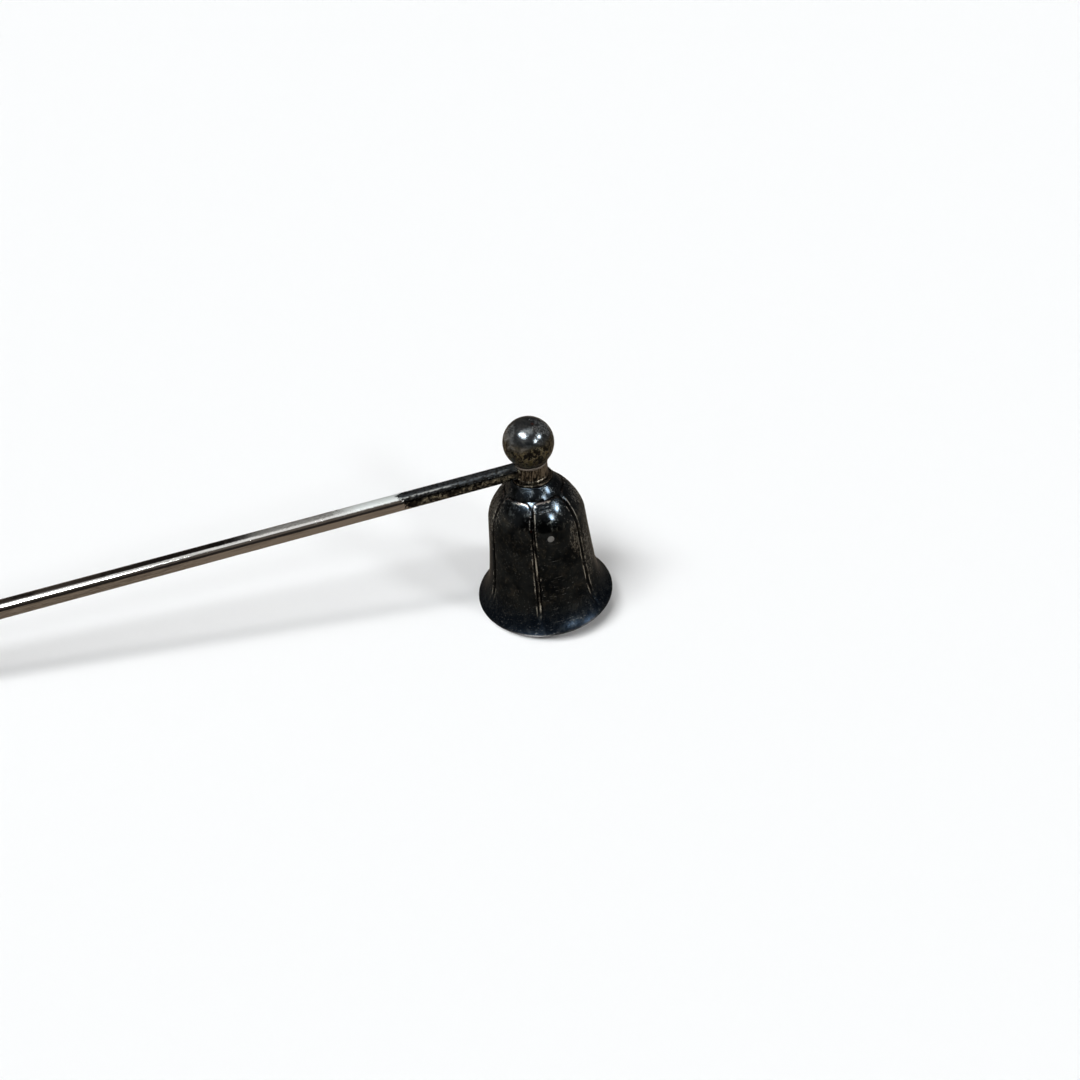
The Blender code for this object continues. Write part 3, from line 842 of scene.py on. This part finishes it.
def tarnished_collar(name):
    """Brown-black old solder and plate with pale rubbed rims."""
    g = Graph(name)
    streaks = g.noise(1.0, 5.0, 0.7, 0.7, g.stretch((1.25, 1.25, 0.40), (3.0, 1.0, 0.0)))
    mottle = g.noise(2.0, 6.0, 0.7, 0.8)
    grain = g.noise(6.0, 4.0, 0.7)
    brown = (0.155, 0.138, 0.106)
    pale = (0.50, 0.46, 0.38)
    black = (0.014, 0.014, 0.013)
    colour = g.mix(g.remap(mottle, 0.42, 0.60), (0.07, 0.06, 0.045), brown)
    colour = g.mix(g.times(g.remap(streaks, 0.51, 0.57), 0.80), colour, pale)
    colour = g.mix(g.times(g.remap(streaks, 0.495, 0.46), 0.92), colour, black)
    rim = g.remap(g.z, 45.78, 45.88)
    foot = g.times(g.remap(g.z, 41.2, 41.5), g.remap(g.z, 42.1, 41.9))
    worn = g.times(g.add(rim, g.times(foot, 0.12)), g.remap(g.noise(0.9, 3.0), 0.28, 0.44))
    colour = g.mix(g.times(worn, 0.85), colour, (0.36, 0.32, 0.28))
    roughness = g.add(0.16, g.times(mottle, 0.20), g.times(grain, 0.06), g.times(rim, 0.12))
    height = g.add(g.times(mottle, 0.4), g.times(streaks, 0.6), g.times(grain, 0.15))
    metallic = g.math("SUBTRACT", 1.0, g.times(g.times(worn, rim), 0.18))
    return g.surface(colour, roughness, metallic, height, 0.05)


def rod_silver():
    """Bright plate with films on its upper side, black and golden-brown next to the bell; these carry
    painted highlights and reflections.
    """
    g = Graph("rod_silver")
    streak = g.noise(1.0, 5.0, 0.6, 0.3, g.stretch((1.2, 1.2, 0.10)))
    fine = g.noise(1.0, 5.0, 0.65, 0.0, g.stretch((7.0, 7.0, 0.35), (3.0, 1.0, 5.0)))
    patch = g.noise(0.42, 6.0, 0.75, 0.9)
    mottle = g.noise(1.6, 6.0, 0.72, 0.6)
    frayed = g.times(g.math("SUBTRACT", patch, 0.5), 8.0)
    frayed = g.add(frayed, g.times(g.math("SUBTRACT", mottle, 0.5), 5.0))
    ragged = g.add(g.z, frayed, g.times(g.x, -0.7))
    dirty = g.remap(ragged, 34.4, 34.0)
    # angle round the rod in degrees: 0 in front, 90 on top
    round_rod = g.times(g.math("ARCTAN2", g.x, g.math("MULTIPLY", g.y, -1.0)), 180.0 / math.pi)
    behind = g.remap(round_rod, 172.0, 150.0)
    silver = (0.84, 0.82, 0.79)
    dull = (0.56, 0.54, 0.51)
    black = (0.010, 0.010, 0.010)
    gold = (0.40, 0.355, 0.25)
    slate = (0.095, 0.108, 0.118)
    bright = g.mix(g.times(g.remap(streak, 0.48, 0.64), 0.5), silver, dull)
    # films on the upper side: pale next to the tarnish, then grey-brown, then dark. They are partly
    # painted light: the pale film is partly a painted highlight, the grey-brown and dark ones partly
    # painted reflections of the dim room above
    uneven = g.times(g.math("SUBTRACT", mottle, 0.5), 30.0)
    turn_up = g.add(round_rod, uneven)
    pale_film_and_highlight = g.remap(g.add(g.z, g.times(patch, 12.0)), 61.0, 50.0)
    pale_film_and_highlight = g.times(pale_film_and_highlight, g.remap(turn_up, 44.0, 54.0), behind)
    grey_film_and_reflection = g.remap(g.add(g.z, g.times(patch, 14.0)), 86.0, 76.0)
    grey_film_and_reflection = g.times(grey_film_and_reflection, g.remap(turn_up, 56.0, 68.0), behind)
    dark_film_and_reflection = g.remap(g.noise(0.055, 4.0, 0.6, 0.6), 0.46, 0.54)
    dark_film_and_reflection = g.math("MAXIMUM", dark_film_and_reflection, g.band(g.add(g.z, g.times(patch, 8.0)), 96.0, 30.0))
    dark_film_and_reflection = g.times(dark_film_and_reflection, g.remap(g.z, 64.0, 76.0), g.remap(turn_up, 60.0, 72.0), behind)
    speckle = g.remap(g.noise(2.2, 5.0, 0.75, 0.3, g.stretch((1.0, 1.0, 0.4))), 0.46, 0.62)
    bright = g.mix(g.times(dark_film_and_reflection, 0.94), bright, (0.085, 0.090, 0.095))
    speckled = g.times(grey_film_and_reflection, g.add(0.60, g.times(speckle, 0.35)))
    bright = g.mix(speckled, bright, (0.25, 0.24, 0.215))
    bright = g.mix(g.times(pale_film_and_highlight, 0.92), bright, (0.66, 0.69, 0.67))
    brushed = g.times(g.remap(g.z, 80.0, 94.0), g.remap(fine, 0.44, 0.58))
    bright = g.mix(g.times(brushed, 0.55), bright, (0.30, 0.29, 0.27))
    upper = g.remap(turn_up, 30.0, 48.0)
    fleck = g.noise(2.4, 6.0, 0.8, 0.5, g.stretch((1.0, 1.0, 0.6), (6.0, 2.0, 4.0)))
    # on the tarnished part the top is slate-grey over black: partly tarnish, partly a painted sheen
    # of the room above
    slate_top_sheen = g.times(g.remap(mottle, 0.44, 0.52), g.add(0.12, g.times(upper, 0.88)))
    dark = g.mix(slate_top_sheen, black, slate)
    dark = g.mix(g.times(g.remap(fleck, 0.53, 0.60), 0.55), dark, (0.19, 0.18, 0.145))
    dark = g.mix(g.times(g.remap(fleck, 0.45, 0.39), 0.80), dark, black)
    # a painted highlight: a broken pale line along the top of the tarnished part, where an overhead
    # light glints
    painted_highlight_line = g.times(g.band(turn_up, 54.0, 9.0), g.remap(g.z, 19.0, 25.0))
    painted_highlight_line = g.times(painted_highlight_line, g.remap(g.noise(0.8, 4.0, 0.7), 0.38, 0.50))
    dark = g.mix(g.times(painted_highlight_line, 0.85), dark, (0.52, 0.52, 0.50))
    # golden-brown patches on the lower side of the tarnished part: partly tarnish, partly a painted
    # reflection of the brown table
    golden_tarnish_and_reflection = g.times(g.remap(g.noise(0.75, 6.0, 0.80, 0.6), 0.48, 0.54), g.remap(g.x, 1.2, 0.6))
    golden_tarnish_and_reflection = g.times(golden_tarnish_and_reflection, g.remap(g.z, 33.0, 30.0))
    dark = g.mix(g.times(golden_tarnish_and_reflection, g.add(0.35, g.times(speckle, 0.6))), dark, gold)
    colour = g.mix(dirty, bright, dark)
    tide = g.band(ragged, 34.0, 0.55)
    colour = g.mix(g.times(tide, 0.85), colour, black)
    pits = g.remap(g.cells(1.4), 0.14, 0.07)
    pits = g.times(pits, g.remap(g.noise(0.22, 3.0), 0.50, 0.60))
    colour = g.mix(g.times(pits, 0.8), colour, black)
    marks = g.scratches(8.0, (0.0, 90.0, 10.0), 0.70)
    clean = g.math("SUBTRACT", 1.0, dirty)
    roughness = g.add(
        0.07,
        g.times(fine, 0.06),
        g.times(dirty, g.times(mottle, 0.07)),
        g.times(clean, g.add(g.times(grey_film_and_reflection, 0.14), g.times(pale_film_and_highlight, 0.18))),
    )
    height = g.add(g.times(fine, 0.14), g.times(g.times(dirty, mottle), 0.8), g.times(pits, -0.4),
                   g.times(marks, -0.2))
    film = g.times(clean, g.add(g.times(grey_film_and_reflection, 0.35), g.times(pale_film_and_highlight, 0.60)))
    dirty_film = g.times(dirty, g.add(g.times(golden_tarnish_and_reflection, 0.20), g.times(upper, 0.22)))
    film = g.math("MINIMUM", g.add(film, dirty_film), 0.65)
    return g.surface(colour, roughness, g.math("SUBTRACT", 1.0, film), height, 0.025)


def bright_silver():
    """Silver plate with soft clouding and hairline scratches."""
    g = Graph("bright_silver")
    cloud = g.noise(0.3, 6.0, 0.65, 0.6)
    fine = g.noise(4.0, 5.0, 0.7)
    colour = g.mix(g.remap(cloud, 0.45, 0.70), (0.83, 0.81, 0.78), (0.46, 0.44, 0.41))
    marks = g.scratches(2.0, (20.0, 40.0, 0.0), 0.68)
    marks = g.add(marks, g.scratches(9.0, (0.0, 70.0, 50.0), 0.68))
    roughness = g.add(0.12, g.times(cloud, 0.12), g.times(fine, 0.06))
    return g.surface(colour, roughness, 1.0, g.add(g.times(fine, 0.2), g.times(marks, -0.3)), 0.03)


def sooty_inside():
    """Soot and wax film inside the bell, rubbed thin in places."""
    g = Graph("sooty_inside")
    cloud = g.noise(0.22, 6.0, 0.65, 0.7)
    speck = g.noise(2.0, 6.0, 0.75, 0.4)
    drip = g.noise(1.0, 4.0, 0.6, 0.4, g.stretch((0.9, 0.9, 0.12)))
    colour = g.mix(g.remap(cloud, 0.40, 0.62), (0.012, 0.011, 0.010), (0.075, 0.066, 0.055))
    colour = g.mix(g.times(g.remap(drip, 0.54, 0.66), 0.6), colour, (0.17, 0.14, 0.10))
    colour = g.mix(g.times(g.remap(speck, 0.56, 0.66), 0.5), colour, (0.20, 0.19, 0.17))
    roughness = g.add(0.38, g.times(cloud, 0.2), g.times(speck, 0.1))
    return g.surface(colour, roughness, 0.7, g.add(g.times(speck, 0.4), g.times(drip, 0.4)), 0.05)


def worn_brass():
    """Dull bare brass with brown stains and turning marks."""
    g = Graph("worn_brass")
    stain = g.noise(0.6, 6.0, 0.7, 0.8)
    rings = g.noise(1.0, 3.0, 0.6, 0.0, g.stretch((0.2, 0.2, 9.0)))
    colour = g.mix(g.remap(stain, 0.42, 0.66), (0.52, 0.38, 0.18), (0.16, 0.11, 0.06))
    roughness = g.add(0.28, g.times(stain, 0.2), g.times(rings, 0.08))
    return g.surface(colour, roughness, 1.0, g.add(g.times(stain, 0.3), g.times(rings, 0.4)), 0.03)


def plain_steel():
    """Bare steel, faintly brushed, with grey stains."""
    g = Graph("plain_steel")
    stain = g.noise(0.8, 5.0, 0.65, 0.4)
    brush = g.noise(1.0, 3.0, 0.6, 0.0, g.stretch((0.3, 8.0, 8.0)))
    colour = g.mix(g.remap(stain, 0.45, 0.68), (0.52, 0.52, 0.51), (0.26, 0.25, 0.24))
    roughness = g.add(0.26, g.times(brush, 0.14))
    return g.surface(colour, roughness, 1.0, brush, 0.02)


# ---- Floor, light and camera ---------------------------------------------------------------------


PAPER_COLOUR = (0.86, 0.857, 0.853, 1.0)
TABLE_GLOW_COLOUR = (0.175, 0.140, 0.108, 1.0)
BACKDROP_COLOUR = (0.98, 0.98, 0.98, 1.0)
FLOOR_HALF_SIZE = 30.0
LENS, SENSOR = 27.03, 36.0
CAMERA_PLACE = Vector((-43.54, -170.82, 166.74)) * MM
CAMERA_FORWARD = Vector((0.1894, 0.7418, -0.6434))
CAMERA_RIGHT = Vector((0.9439, -0.3181, -0.0890))


def shader_mix(tree, share, first, second):
    node = tree.nodes.new("ShaderNodeMixShader")
    tree.links.new(share, node.inputs[0])
    tree.links.new(first, node.inputs[1])
    tree.links.new(second, node.inputs[2])
    return node.outputs[0]


def make_floor():
    """Pale paper on the table. Mirror rays meet a brown glow, a painted reflection of a browner
    table, as the metal does in a room.
    """
    shape = bmesh.new()
    bmesh.ops.create_grid(shape, x_segments=1, y_segments=1, size=FLOOR_HALF_SIZE)
    mesh = bpy.data.meshes.new("floor")
    shape.to_mesh(mesh)
    shape.free()
    floor = bpy.data.objects.new("floor", mesh)
    bpy.context.scene.collection.objects.link(floor)
    material = bpy.data.materials.new("pale_floor")
    material.use_nodes = True
    tree = material.node_tree
    tree.nodes.remove(tree.nodes["Principled BSDF"])
    paper = tree.nodes.new("ShaderNodeBsdfDiffuse")
    paper.inputs["Color"].default_value = PAPER_COLOUR
    # the brown table is an emission, a glow seen only in reflections
    table = tree.nodes.new("ShaderNodeEmission")
    table.inputs["Color"].default_value = TABLE_GLOW_COLOUR
    rays = tree.nodes.new("ShaderNodeLightPath")
    mixed = shader_mix(tree, rays.outputs["Is Glossy Ray"], paper.outputs[0], table.outputs[0])
    tree.links.new(mixed, tree.nodes["Material Output"].inputs["Surface"])
    mesh.materials.append(material)


def direction(azimuth, elevation):
    """Unit vector towards a place in the room. Azimuth 0 is -Y, 90 is +X."""
    a, e = math.radians(azimuth), math.radians(elevation)
    return Vector((math.sin(a) * math.cos(e), -math.cos(a) * math.cos(e), math.sin(e)))


def dot_with(tree, vector, other):
    node = tree.nodes.new("ShaderNodeVectorMath")
    node.operation = "DOT_PRODUCT"
    tree.links.new(vector, node.inputs[0])
    node.inputs[1].default_value = other
    return node.outputs["Value"]


def window(tree, sky, azimuth, elevation, half_width, half_height, soft, roll=0.0):
    """1 inside a soft-edged bright rectangle of the room, 0 outside."""
    out = direction(azimuth, elevation)
    side = out.cross(Vector((0.0, 0.0, 1.0))).normalized()
    rise = side.cross(out)
    turn = Matrix.Rotation(math.radians(roll), 3, out)
    side, rise = turn @ side, turn @ rise
    ahead = dot_with(tree, sky, out)
    inside = tree_step(tree, ahead, 0.0, 0.1)
    for axis, half in ((side, half_width), (rise, half_height)):
        across = tree_math(tree, "DIVIDE", dot_with(tree, sky, axis), ahead)
        across = tree_math(tree, "ABSOLUTE", across)
        limit = math.tan(math.radians(half))
        within = tree_step(tree, across, limit * (1 + soft), limit)
        inside = tree_math(tree, "MULTIPLY", inside, within)
    return inside


WINDOWS = (
    # radiance; azimuth, elevation, half width, half height (degrees), softness, roll
    (33.0, -64.0, 49.0, 13.0, 4.0, 0.3, 0.0),
    (22.0, 46.0, 42.0, 4.6, 4.0, 0.3, 0.0),
    (26.0, 17.0, 32.5, 3.7, 3.2, 0.3, 0.0),
    (0.7, -57.5, 67.0, 22.0, 13.0, 0.5, 57.0),
)
DARK_CARD = (-10.0, 12.0, 34.0, 11.0, 0.9)
ROOM_COLOUR = (1.0, 0.84, 0.72)
LIGHT_COLOUR = (0.97, 1.0, 1.02)


def make_world():
    """A dim room with four windows and a dark card. The camera itself sees a white backdrop."""
    world = bpy.data.worlds.new("room")
    bpy.context.scene.world = world
    world.use_nodes = True
    tree = world.node_tree
    background = tree.nodes["Background"]
    coordinates = tree.nodes.new("ShaderNodeTexCoord")
    sky = coordinates.outputs["Generated"]
    ahead = tree_step(tree, dot_with(tree, sky, direction(0.0, 20.0)), -0.3, 0.6)
    height = dot_with(tree, sky, Vector((0.0, 0.0, 1.0)))
    room = tree_math(tree, "ADD", tree_math(tree, "MULTIPLY", ahead, 0.045), 0.040)
    near_horizon = tree_math(tree, "MULTIPLY", tree_step(tree, height, 0.5, 0.1), 0.035)
    room = tree_math(tree, "ADD", room, near_horizon)
    card = window(tree, sky, *DARK_CARD)
    shaded = tree_math(tree, "SUBTRACT", 1.0, tree_math(tree, "MULTIPLY", card, 0.85))
    room = tree_math(tree, "MULTIPLY", room, shaded)
    lights = 0.0
    for radiance, *place in WINDOWS:
        lit = tree_math(tree, "MULTIPLY", window(tree, sky, *place), radiance)
        lights = tree_math(tree, "ADD", lights, lit)
    background.inputs["Color"].default_value = (*ROOM_COLOUR, 1.0)
    tree.links.new(room, background.inputs["Strength"])
    lamp_light = tree.nodes.new("ShaderNodeBackground")
    lamp_light.inputs["Color"].default_value = (*LIGHT_COLOUR, 1.0)
    tree.links.new(lights, lamp_light.inputs["Strength"])
    both = tree.nodes.new("ShaderNodeAddShader")
    tree.links.new(background.outputs[0], both.inputs[0])
    tree.links.new(lamp_light.outputs[0], both.inputs[1])
    backdrop = tree.nodes.new("ShaderNodeBackground")
    backdrop.inputs["Color"].default_value = BACKDROP_COLOUR
    rays = tree.nodes.new("ShaderNodeLightPath")
    mixed = shader_mix(tree, rays.outputs["Is Camera Ray"], both.outputs[0], backdrop.outputs[0])
    tree.links.new(mixed, tree.nodes["World Output"].inputs["Surface"])


def make_lamp(name, azimuth, elevation, angle, strength):
    """A soft distant lamp for light and shadow only: the metal doesn't mirror it."""
    data = bpy.data.lights.new(name, "SUN")
    data.energy = strength
    data.angle = math.radians(angle)
    lamp = bpy.data.objects.new(name, data)
    bpy.context.scene.collection.objects.link(lamp)
    lamp.visible_glossy = False
    lamp.rotation_mode = "QUATERNION"
    lamp.rotation_quaternion = direction(azimuth, elevation).to_track_quat("Z", "Y")


def make_camera():
    """A phone's main camera, 0.24 m away and above the bell, in the bell frame."""
    data = bpy.data.cameras.new("camera")
    data.sensor_width = SENSOR
    data.lens = LENS
    data.clip_start = 0.01
    data.clip_end = 200.0
    camera = bpy.data.objects.new("camera", data)
    bpy.context.scene.collection.objects.link(camera)
    right = CAMERA_RIGHT.normalized()
    back = -CAMERA_FORWARD
    up = back.cross(right).normalized()
    back = right.cross(up)
    turn = Matrix((right, up, back)).transposed().to_4x4()
    camera.matrix_world = BELL @ Matrix.Translation(CAMERA_PLACE) @ turn
    bpy.context.scene.camera = camera


# ---- The scene -----------------------------------------------------------------------------------


def main():
    brass = worn_brass()
    steel = plain_steel()
    collar_finish = tarnished_collar("tarnished_collar")
    make_bell(tarnished_bell(), sooty_inside())
    make_swivel(brass, steel, collar_finish)
    make_screw(brass)
    make_collar(collar_finish)
    make_ball(tarnished_ball(), brass)
    make_rod(rod_silver())
    make_solder(tarnished_collar("old_solder"))
    make_handle_end(bright_silver(), steel)
    make_floor()
    make_world()
    make_lamp("overhead_lamp", -62.0, 77.0, 9.0, 0.42)
    make_camera()
    bpy.context.scene.view_settings.view_transform = "Standard"


main()
